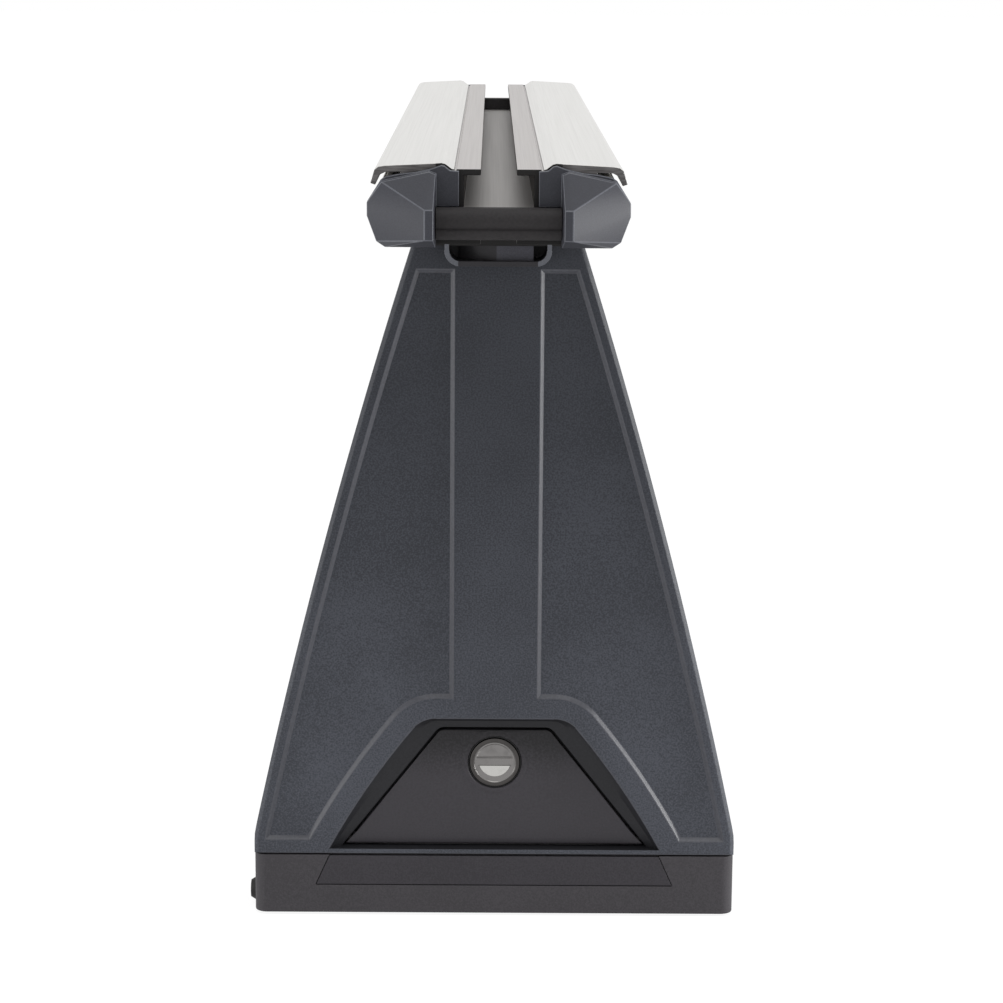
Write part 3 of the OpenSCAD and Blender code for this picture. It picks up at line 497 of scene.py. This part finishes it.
def arc(centre, radius, start, end, steps):
    """Points along an arc, both ends included."""
    angles = [start + (end - start) * i / steps for i in range(steps + 1)]
    return [(centre[0] + radius * math.cos(a), centre[1] + radius * math.sin(a)) for a in angles]


print("half width at the foot and head:", round(leg_x(25, 0), 2), round(leg_x(leg_top, 0), 2))

# %% [markdown]
# ## The arch
# The arch over the door is moulded into the cover. Its outline could be traced point by point, but as
# arcs about fixed centres it can be offset: the rounded edge of the recess and the band between the
# arch and the sunk panels then keep their width all the way round.

# %% The arch
cover_z, cover_top = span("leg_cover", 2)
arch_z, arch_top = cover_z + 1.8, base_h + 47
arch_foot, arch_r, arch_corner = 54.9, 260, 10
arch_lean, right_angle = math.radians(28.4), math.pi / 2
arch_centre = (arch_foot - arch_r * math.cos(arch_lean), arch_z - arch_r * math.sin(arch_lean))
corner_z = arch_top - arch_corner
corner_x = arch_centre[0] + math.sqrt((arch_r - arch_corner) ** 2 - (corner_z - arch_centre[1]) ** 2)
corner_turn = math.atan2(corner_z - arch_centre[1], corner_x - arch_centre[0])
arc_steps = 8


def arch_half(off, z0):
    """The right half of the arch, from z0 up to its middle."""
    foot_turn = math.asin((z0 - arch_centre[1]) / (arch_r + off))
    side = arc(arch_centre, arch_r + off, foot_turn, corner_turn, arc_steps)
    corner = arc((corner_x, corner_z), arch_corner + off, corner_turn, right_angle, arc_steps)
    return side + corner[1:]


def arch_x(z):
    """Half width of the arch at a height, just outside it."""
    return arch_centre[0] + math.sqrt(arch_r ** 2 - (z - arch_centre[1]) ** 2) + 0.1


print("the arch is", round(arch_top - arch_z, 1), "high and", 2 * arch_foot, "wide at its foot")

# %% [markdown]
# ## The door's outline and the sunk panels
# The door is a trapezoid with rounded upper corners. On either side of it and above it a panel is
# sunk by a millimetre between the flank, the raised column and the arch, which stiffens the moulding.
# A panel is drawn smaller by an amount, so that its sloping edge can be built up from a few outlines.

# %% The door and the panels
door_z, door_top = arch_z + 0.3, arch_z + 40.3
door_foot_x, door_lean = 49.6, math.radians(38.2)


def door_half(off, z0):
    """The right half of the door's trapezoid, from z0 up to its middle."""
    corner, steps = 3, 8
    radius = corner + off
    foot_x = door_foot_x + off / math.cos(door_lean) - (z0 - door_z) * math.tan(door_lean)
    bend_z = door_top - corner
    bend_x = door_foot_x - (bend_z - door_z) * math.tan(door_lean) - corner / math.cos(door_lean)
    head = (bend_x + radius * math.cos(door_lean), bend_z + radius * math.sin(door_lean))
    side = [(foot_x + (head[0] - foot_x) * i / steps, z0 + (head[1] - z0) * i / steps)
            for i in range(steps + 1)]
    return side + arc((bend_x, bend_z), radius, door_lean, right_angle, arc_steps)[1:]


def panel(shrink):
    """The right sunk panel between the flank, the column and the arch."""
    low_frame, high_frame, flank_frame, arch_band, column_half = 5, 9, 3.9, 7.4, 14
    z0, z1 = cover_z + low_frame + shrink, leg_top - high_frame - shrink
    off = arch_band + shrink
    foot_turn = math.asin((z0 - arch_centre[1]) / (arch_r + off))
    bend = arc((corner_x, corner_z), arch_corner + off, right_angle, corner_turn, arc_steps)
    side = arc(arch_centre, arch_r + off, corner_turn, foot_turn, arc_steps)[1:]
    column = [(column_half + shrink, z1), (column_half + shrink, bend[0][1])]
    return leg_half(-flank_frame - shrink, z0, z1) + column + bend + side


print("the door reaches from z", round(door_z, 1), "to", round(door_top, 1),
      "and a panel has", len(panel(0)), "points")

# %% [markdown]
# ## Lofting
# A loft starts as one closed loop of edges. Extruding the loop and moving the new one to the next
# outline gives a band of clean four-sided faces, so a rounded edge costs three or four loops. Flat
# faces with holes are then filled between the loops. Booleans could cut the same panels, but they
# leave thin triangles along the rounded edges, and those shade badly.

# %% Loop helpers
def loop_edges(verts):
    """The edges of a closed loop, in the order of its vertices."""
    return [next(e for e in a.link_edges if e.other_vert(a) is b)
            for a, b in zip(verts, verts[1:] + verts[:1])]


def first_loop(bm, points, y):
    """A closed loop of edges through (x, z) points."""
    verts = [bm.verts.new((x, y, z)) for x, z in points]
    for a, b in zip(verts, verts[1:] + verts[:1]):
        bm.edges.new((a, b))
    return verts


def next_loop(bm, verts, points, y):
    """Extrudes a loop and moves the new vertices to the next outline."""
    made = bmesh.ops.extrude_edge_only(bm, edges=loop_edges(verts))["geom"]
    fresh = {v for v in made if isinstance(v, bmesh.types.BMVert)}
    row = [next(e.other_vert(v) for e in v.link_edges if e.other_vert(v) in fresh) for v in verts]
    for v, (x, z) in zip(row, points):
        v.co = (x, y, z)
    return row


def loft(bm, sections):
    """Bands of faces through a row of (depth behind the front, outline); returns both end loops."""
    depth, points = sections[0]
    first = last = first_loop(bm, points, front_y + depth)
    for depth, points in sections[1:]:
        last = next_loop(bm, last, points, front_y + depth)
    return first, last


def fill(bm, *loops):
    """A flat face between loops; inner loops are holes."""
    edges = [e for verts in loops for e in loop_edges(verts)]
    bmesh.ops.triangle_fill(bm, use_beauty=True, edges=edges)


def closed_loft(bm, sections):
    """A loft with both of its ends filled."""
    for end in loft(bm, sections):
        fill(bm, end)


# %% [markdown]
# ## The cover
# The real cover is one plastic moulding: a front wall with two sunk panels, a recess with sloping
# walls for the door, and sides that wrap round the casting. Every edge has a small radius, because a
# mould can't make a sharp one, and those radii catch the light as thin bright lines, which a lighter
# colour on them strengthens as a painted highlight. The CAD piece could be bevelled, but its narrow
# faces stop a bevel early, so the moulding is lofted anew. Behind the door the opening narrows to a
# lip. At the door's foot this lip starts further back, because the foot swings inwards there as the
# door falls open.

# %% The parts of the cover
wall, door_gap = 3.2, 0.9


def cover_outline(off, inset):
    """The cover's outer edge, grown sideways by off and shortened at both ends by inset."""
    return both(leg_half(off, cover_z + inset, cover_top - inset))


def arch_ring(off):
    return both(arch_half(off, arch_z))


def opening_ring(off):
    return both(door_half(off, arch_z))


def lip_ring(off):
    """The opening drawn in to the lip, but left wide near the hinge."""
    lip_foot_z = door_z + 6
    return both([wide if wide[1] < lip_foot_z else tight
                 for wide, tight in zip(door_half(door_gap, arch_z), door_half(off, arch_z))])


def recess_sections():
    """From the rounded arch in at a slope to the opening, then past the lip to the jamb's back."""
    ledge_share, lip, back, jamb = 0.36, -0.8, 8.35, 3.4
    arch, opening = arch_ring(0), opening_ring(door_gap + 0.5)
    ledge = [(a[0] + (d[0] - a[0]) * ledge_share, a[1] + (d[1] - a[1]) * ledge_share)
             for a, d in zip(arch, opening)]
    outside = both(door_half(jamb, cover_z + 0.05))
    return [
        (0, arch_ring(0.55)), (0.08, arch_ring(0.25)), (0.35, arch), (2.5, ledge), (3.4, opening),
        (3.6, opening_ring(door_gap + 0.1)), (3.9, opening_ring(door_gap)),
        (7.0, opening_ring(door_gap)), (7.1, lip_ring(lip)), (7.98, lip_ring(lip)),
        (8.02, opening_ring(lip)), (back, opening_ring(lip + 0.1)),
        (back, outside), (wall, outside)]


def sink_panel(bm, mirror):
    """One sunk panel with rounded, sloping edges; returns the loop in the cover's front."""
    slope = ((0, -0.35), (0.06, -0.12), (0.2, 0.06), (1.06, 0.92), (1.16, 1.1), (1.2, 1.35))
    edge, floor = loft(bm, [(depth, [(mirror * x, z) for x, z in panel(shrink)])
                            for depth, shrink in slope])
    fill(bm, floor)
    return edge


def add_side(bm, mirror):
    """The side that wraps round the casting, and the screw tab behind the door."""
    side, wrap = 2.5, 30

    def strip(outer, inner):
        whole = leg_half(outer, cover_z, cover_top) + leg_half(inner, cover_z, cover_top)[::-1]
        return [(mirror * x, z) for x, z in whole]

    closed_loft(bm, [
        (wall, strip(0, -side)), (wrap - 0.5, strip(0, -side)),
        (wrap - 0.12, strip(-0.15, -side + 0.15)), (wrap, strip(-0.5, -side + 0.5))])
    tab = [(mirror * x, z) for x, z in ((34.6, 27.2), (49.5, 27.2), (42.8, 36.9), (34.6, 36.9))]
    closed_loft(bm, [(9.9, tab), (11.9, tab)])


# %% [markdown]
# The cover is put together, and its faces get three finishes: the grained skin, the smoother slopes
# and roundings, lighter with a painted highlight, and painted shade in the recess round the door.

# %% Cover
def cover_face(normal, centre):
    """0 skin, 1 slopes and rounded edges with a painted highlight, 2 painted shade in the recess."""
    depth = centre.y - front_y
    if 0.2 < depth < 9 and centre.z < arch_top + 0.1 and abs(centre.x) < arch_x(centre.z):
        return 2
    slanted = depth < 1.25 and abs(normal.y) < 0.985
    return 1 if slanted and abs(centre.x) < leg_x(centre.z, -2) else 0


def build_cover():
    bm = bmesh.new()
    front, back = loft(bm, [
        (0, cover_outline(-1.5, 0.5)), (0.1, cover_outline(-1.2, 0.3)),
        (1.1, cover_outline(-0.12, 0.05)), (1.4, cover_outline(0, 0)), (wall, cover_outline(0, 0))])
    recess, jamb_back = loft(bm, recess_sections())
    sinks = [sink_panel(bm, mirror) for mirror in (1, -1)]
    fill(bm, front, recess, *sinks)
    fill(bm, back, jamb_back)
    for mirror in (1, -1):
        add_side(bm, mirror)
    bm.normal_update()
    for face in bm.faces:
        face.material_index = cover_face(face.normal, face.calc_center_median())
    finish_piece(bm, "leg_cover_moulding", "foot",
                 [cover_plastic, cover_edge, recess_painted_shade], ["leg_cover"])


build_cover()

# %% [markdown]
# ## The access door
# The door is a separate, smoother moulding. Its front is slightly crowned, which puts a soft gradient
# on it, and painted shade darkens it further towards its top, under the arch. It swells into a low
# boss round the lock. The rings of the loft therefore turn step by step from the door's outline into a
# circle, and go on through the hole for the lock.
# A grid could be pushed into this shape, but rings keep both the edge and the hole clean. The foot is
# rounded about the hinge, so that it clears the sill as the door falls open.

# %% Door
lock_z = sum(span("lock_sleeve", 2)) / 2


def finer(points, step=5):
    """The same outline with extra points, so that no edge is longer than about step."""
    out = []
    for (x0, z0), (x1, z1) in zip(points, points[1:] + points[:1]):
        count = max(1, round(math.hypot(x1 - x0, z1 - z0) / step))
        out += [(x0 + (x1 - x0) * i / count, z0 + (z1 - z0) * i / count) for i in range(count)]
    return out


def build_door():
    bm = bmesh.new()
    sink, thick, crown, crown_steps = 3.7, 3.0, 0.35, 8
    foot = door_z + 0.1
    back_half, boss_r, hole_r = 48.2, 11, 8.95
    hinge = [sum(span("hinge_pins", axis)) / 2 for axis in range(3)]
    barrel_r, barrel_half = 1.9, 47
    edge = finer(both(door_half(0, foot)))
    turns = [math.atan2(z - lock_z, x) for x, z in edge]

    def ring(radius):
        """A circle round the lock with a point for each point of the edge."""
        return [(radius * math.cos(a), lock_z + radius * math.sin(a)) for a in turns]

    def inward(amount):
        """The door's edge, drawn in by an amount towards the lock."""
        return [(x - amount * math.cos(a), z - amount * math.sin(a))
                for (x, z), a in zip(edge, turns)]

    def lifted(points, amount):
        """The outline with its foot raised by an amount."""
        return [(x, max(z, foot + amount)) for x, z in points]

    def between(share):
        """A step on the way from the door's edge to the boss."""
        return [(x + (u - x) * share, z + (v - z) * share)
                for (x, z), (u, v) in zip(inward(0.5), ring(boss_r))]

    back_edge = [(max(-back_half, min(back_half, x)), z) for x, z in edge]
    rows = [(sink + thick, back_edge), (sink + 1.4, edge), (sink + 0.55, lifted(edge, 0.3)),
            (sink + 0.2, lifted(inward(0.12), 0.7)), (sink + 0.03, lifted(inward(0.5), 1.0))]
    for i in range(1, crown_steps + 1):
        share = i / crown_steps
        rows.append((sink - crown * math.sin(share * right_angle), between(share)))
    rows += [(sink - 0.42, ring(10.6)), (sink - 0.62, ring(10.2)), (sink - 0.7, ring(9.7)),
             (sink - 0.62, ring(9.2)), (sink - 0.35, ring(hole_r)), (sink + thick, ring(hole_r))]
    back, hole = loft(bm, rows)
    fill(bm, back, hole)
    along_x = Matrix.Translation(hinge) @ Matrix.Rotation(right_angle, 4, "Y")
    bmesh.ops.create_cone(bm, cap_ends=True, segments=32, radius1=barrel_r, radius2=barrel_r,
                          depth=2 * barrel_half, matrix=along_x)
    finish_piece(bm, "access_door_panel", "door", [door_plastic], ["access_door"])


build_door()

# %% [markdown]
# ## The lock
# A black sleeve holds a metal plug, which swings a cam with the square tail at its back. Such parts
# are turned on a lathe, so a profile of radius and depth is spun: a stack of cylinders would need a
# bevel at every step. On the plug's face lie three low plates: a polished half-moon, the bar with the
# keyway, and a dull upper plate.

# %% Tools for the lock
def turned(bm, profile, steps=64):
    """Spins a profile of (radius, depth behind the front) round the lock's axis."""
    verts = [bm.verts.new((r, front_y + d, lock_z)) for r, d in profile]
    edges = [bm.edges.new(pair) for pair in zip(verts, verts[1:])]
    bmesh.ops.spin(bm, geom=verts + edges, cent=(0, 0, lock_z), axis=(0, 1, 0), angle=math.tau,
                   steps=steps, use_merge=True)
    bmesh.ops.remove_doubles(bm, verts=bm.verts, dist=0.001)


def low_plate(bm, outline, rise, edge=0.12):
    """A thin plate with a sloping edge on the lock's face, its outline drawn from the lock's axis."""
    cx = sum(x for x, z in outline) / len(outline)
    cz = sum(z for x, z in outline) / len(outline)

    def row(share):
        return [(cx + (x - cx) * share, lock_z + cz + (z - cz) * share) for x, z in outline]

    closed_loft(bm, [(face_depth + 0.2, row(1)), (face_depth - rise + edge, row(1)),
                     (face_depth - rise, row(0.95))])


# %% Lock
face_depth, face_r = 3.5, 6.7
sleeve_profile = [
    (6.6, 14.4), (6.6, 5.5), (8.36, 5.5), (8.36, 3.9), (8.5, 3.7), (8.75, 3.7), (8.9, 3.9),
    (8.9, 14.2), (8.7, 14.4), (6.6, 14.4)]
plug_profile = [
    (0, face_depth), (face_r, face_depth), (6.95, 3.25), (7.3, 3.05), (7.8, 3.05), (8.15, 3.2),
    (8.3, 3.5), (8.3, 5.4), (6.5, 5.4), (6.5, 14.8), (5.8, 14.8), (5.8, 15.9), (6.5, 15.9),
    (6.5, 16.6), (0, 16.6)]


def build_plug():
    """The plug with its dark rim, the square tail for the cam, the keyway bar and the upper plate."""
    bm = bmesh.new()
    turned(bm, plug_profile)
    for face in bm.faces:
        centre = face.calc_center_median()
        outside = math.hypot(centre.x, centre.z - lock_z) > face_r + 0.2
        face.material_index = 1 if outside and centre.y < front_y + 5 else 0
    tail_w, tail_l, tail_depth = 5, 2.1, 17.55
    tail = bmesh.ops.create_cube(bm, size=1)["verts"]
    bmesh.ops.scale(bm, vec=(tail_w, tail_l, tail_w), verts=tail)
    bmesh.ops.translate(bm, vec=(0, front_y + tail_depth, lock_z), verts=tail)
    low_plate(bm, [(-6.1, -1.05), (6.1, -1.05), (6.1, 1.5), (-6.1, 1.5)], 0.3)
    low_plate(bm, arc((0, 0), 6.2, math.radians(18), math.radians(162), 24), 0.2)
    finish_piece(bm, "lock_plug", "lock", [lock_metal, lock_rim], ["lock_core"])


def build_lock():
    sleeve = bmesh.new()
    turned(sleeve, sleeve_profile)
    finish_piece(sleeve, "lock_ring", "door", [sleeve_black], ["lock_sleeve"])
    build_plug()
    moon = bmesh.new()
    low_plate(moon, arc((0, 0.74), 5.64, math.radians(-161.5), math.radians(-18.5), 28), 0.35, 0.2)
    finish_piece(moon, "lock_half_moon", "lock", [lock_polish], [])


build_lock()

# %% [markdown]
# ## Camera
# The picture is taken from in front of the bar's end and a little above it. A camera placed by eye
# would do for a portrait, but here every edge should lie where the picture has it. The focal length
# comes from how fast the bar shrinks with distance; the place and tilt from known heights on the leg.

# %% Camera
focal_px, picture_px = 2775, 1003
eye = [v * MM for v in (-2.28, -931.49, 319.29)]
tilt, turn, lean = (math.radians(v) for v in (11.364, 0.254, 0.396))
ahead = Vector((math.sin(turn) * math.cos(tilt), math.cos(turn) * math.cos(tilt), -math.sin(tilt)))
level = Vector((math.cos(turn), -math.sin(turn), 0))
above = level.cross(ahead)
right = level * math.cos(lean) + above * math.sin(lean)
up = above * math.cos(lean) - level * math.sin(lean)
lens = bpy.data.cameras.new("studio_camera")
lens.sensor_width = 36
lens.lens = focal_px / picture_px * lens.sensor_width
lens.clip_start, lens.clip_end = 0.05, 50
camera = bpy.data.objects.new("studio_camera", lens)
bpy.context.scene.collection.objects.link(camera)
camera.matrix_world = Matrix((
    (right.x, up.x, -ahead.x, eye[0]),
    (right.y, up.y, -ahead.y, eye[1]),
    (right.z, up.z, -ahead.z, eye[2]),
    (0, 0, 0, 1)))
bpy.context.scene.camera = camera
print("lens", round(lens.lens, 1), "mm")

# %% [markdown]
# ## Floor
# The floor is white paper. To the camera and in reflections most of its light comes from itself, so
# that it stays white, and the rest comes from the lamps, so that the foot's shadow still falls on it.

# %% Floor
white = (1, 1, 1, 1)


def plain_floor(half_m):
    own_share, own_strength = 0.8, 1.12
    bm = bmesh.new()
    bmesh.ops.create_grid(bm, x_segments=1, y_segments=1, size=half_m)
    mesh = bpy.data.meshes.new("floor")
    bm.to_mesh(mesh)
    bm.free()
    floor = bpy.data.objects.new("floor", mesh)
    bpy.context.scene.collection.objects.link(floor)
    paper = Finish("floor_paper", shade(230, 230, 230), 0.9)
    paper.bump(paper.noise(2, 2), 0.02)
    glow = paper.node("ShaderNodeEmission", {}, {"Color": white, "Strength": own_strength})
    rays = [paper.node("ShaderNodeLightPath", {}, {}, "Is %s Ray" % kind)
            for kind in ("Camera", "Glossy", "Transmission")]
    share = (rays[0] + rays[1] + rays[2]) * own_share
    lit = Wire(paper, paper.shader.outputs[0])
    mixed = paper.node("ShaderNodeMixShader", {}, {0: share, 1: lit, 2: glow})
    paper.feed(paper.tree.nodes["Material Output"].inputs["Surface"], mixed)
    mesh.materials.append(paper.material)
    print("floor", 2 * half_m, "m wide")


plain_floor(12)

# %% [markdown]
# ## Backdrop
# In a studio a lit sheet stands behind the object. Here the world takes its place: it is white to the
# camera, to reflections and to clear materials, and dimmer as a lamp, so that dark plastic stays dark.

# %% World
lamp_strength, seen_strength = 0.7, 1.0
world = bpy.data.worlds.new("studio")
bpy.context.scene.world = world
world.use_nodes = True
nodes, links = world.node_tree.nodes, world.node_tree.links
path = nodes.new("ShaderNodeLightPath")
seen, shiny = nodes.new("ShaderNodeMath"), nodes.new("ShaderNodeMath")
seen.operation = shiny.operation = "MAXIMUM"
links.new(path.outputs["Is Camera Ray"], seen.inputs[0])
links.new(path.outputs["Is Glossy Ray"], shiny.inputs[0])
links.new(path.outputs["Is Transmission Ray"], shiny.inputs[1])
links.new(shiny.outputs[0], seen.inputs[1])
strength = nodes.new("ShaderNodeMapRange")
strength.inputs["To Min"].default_value = lamp_strength
strength.inputs["To Max"].default_value = seen_strength
links.new(seen.outputs[0], strength.inputs["Value"])
links.new(strength.outputs[0], nodes["Background"].inputs["Strength"])
nodes["Background"].inputs["Color"].default_value = white
print("world nodes:", len(nodes))

# %% [markdown]
# ## Lamps
# Studio lamps shine through soft boxes, and area lamps of that size give the same soft shadows. A
# wide one hangs overhead. The strip on the right is stronger than the one on the left, which draws
# the brighter edges on that side, and a weak low box lifts the lower left of the cover.

# %% Lamps
def softbox(name, place, target, size, watts):
    """A rectangular soft lamp at a place in metres that faces the target."""
    light = bpy.data.lights.new(name, "AREA")
    light.shape = "RECTANGLE"
    light.size, light.size_y = size
    light.energy = watts
    lamp = bpy.data.objects.new(name, light)
    bpy.context.scene.collection.objects.link(lamp)
    lamp.location = place
    lamp.rotation_mode = "QUATERNION"
    lamp.rotation_quaternion = (Vector(target) - Vector(place)).to_track_quat("-Z", "Y")
    print(name, watts, "W")


softbox("top_box", (0.1, -0.5, 1.5), (0, 0, 0.15), (1.0, 0.8), 6)
softbox("right_strip", (0.95, -0.12, 0.24), (0, -0.05, 0.12), (0.2, 0.46), 8)
softbox("left_strip", (-0.95, -0.12, 0.24), (0, -0.05, 0.12), (0.2, 0.46), 2.2)
softbox("low_left", (-0.6, -0.5, 0.08), (-0.04, -0.05, 0.05), (0.25, 0.25), 1.0)
